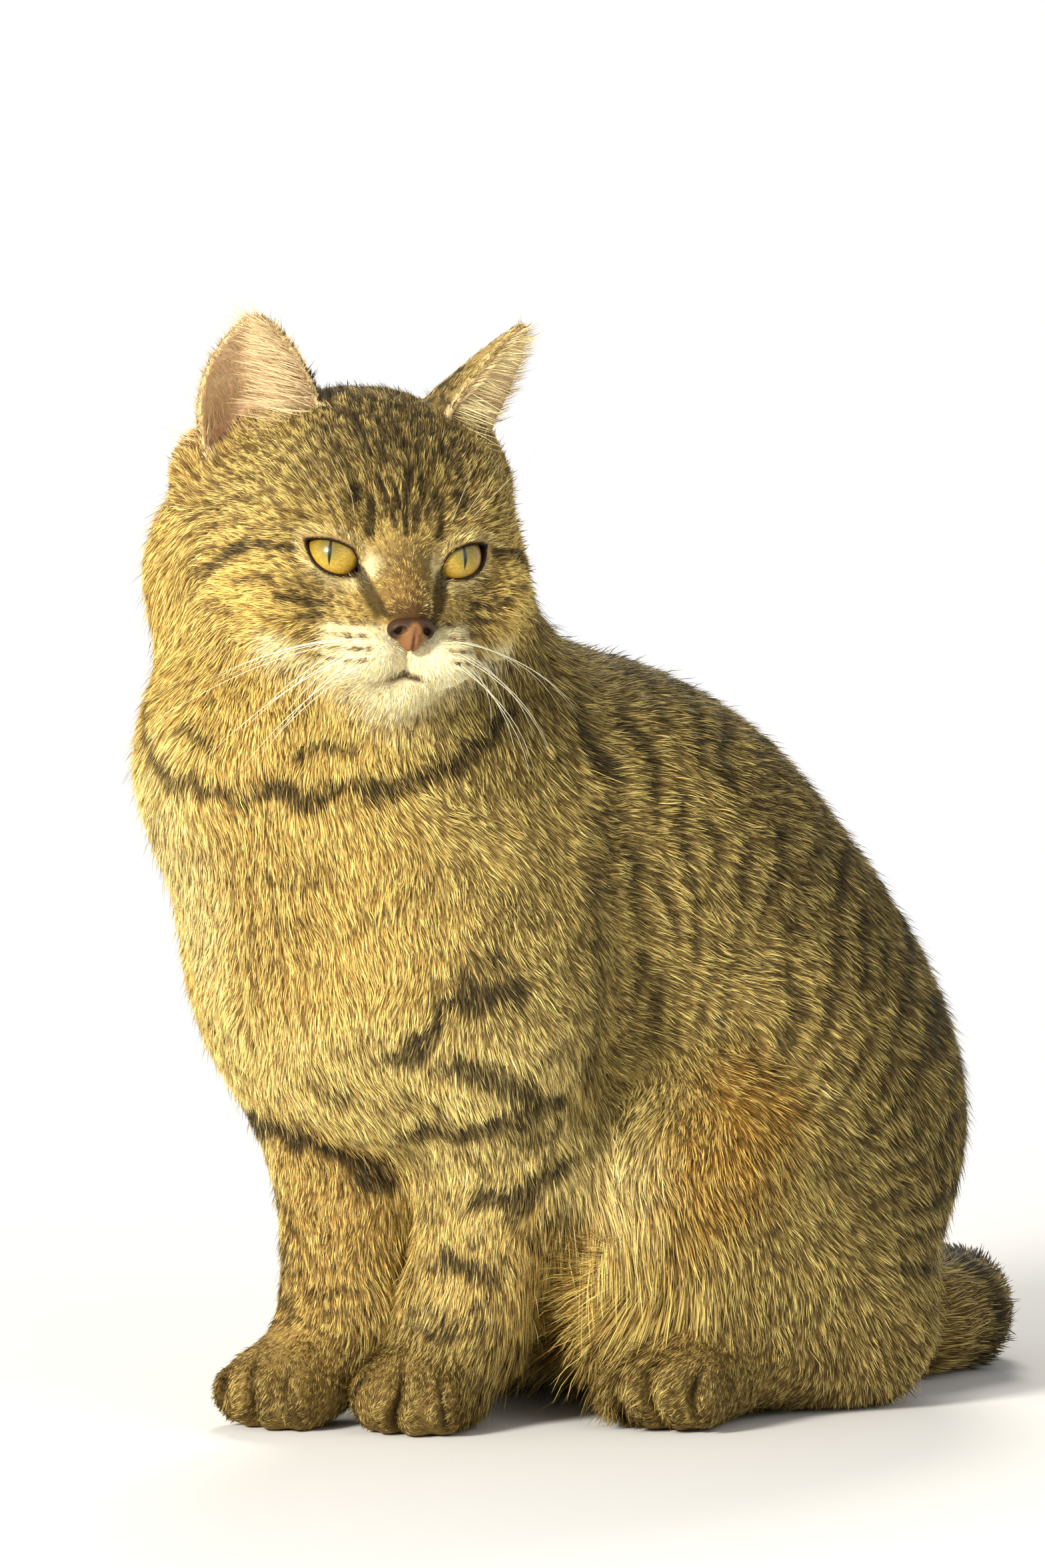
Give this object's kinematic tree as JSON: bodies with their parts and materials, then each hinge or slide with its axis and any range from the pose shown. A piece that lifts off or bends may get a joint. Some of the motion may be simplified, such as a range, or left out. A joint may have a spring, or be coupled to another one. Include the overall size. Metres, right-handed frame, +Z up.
{
  "type": "domestic cat",
  "caption": "Brown tabby domestic cat sitting on its haunches in a thick coat, head turned to its left, tail curled behind it on the floor.",
  "frame": {"origin": "on the floor under the middle of the cat's bounding box", "axes": "+Z up; the body faces -Y and its left side is on +X, so the head, turned to its left, looks towards +X and a little towards -Y"},
  "size_m": [0.2588, 0.3704, 0.3638],
  "materials": {
    "coat": "thick ticked fur with dark tabby bars",
    "pale_coat": "short pale fur with rows of small dark spots",
    "ear": "thin short fur outside, pink skin and long pale hairs inside",
    "eye": "wet amber iris with an upright slit pupil behind a clear cornea",
    "nose_leather": "moist fine-grained bare skin"
  },
  "bodies": {
    "root": {"head": "coat", "muzzle": "pale_coat", "ear_left": "ear", "ear_right": "ear", "eye_left": "eye", "eye_right": "eye", "nose": "nose_leather", "neck": "coat", "trunk": "coat", "foreleg_left": "coat", "forepaw_left": "coat", "hindleg_left": "coat", "hindpaw_left": "coat", "foreleg_right": "coat", "forepaw_right": "coat", "hindleg_right": "coat", "hindpaw_right": "coat", "tail": "coat"}
  },
  "joints": []
}
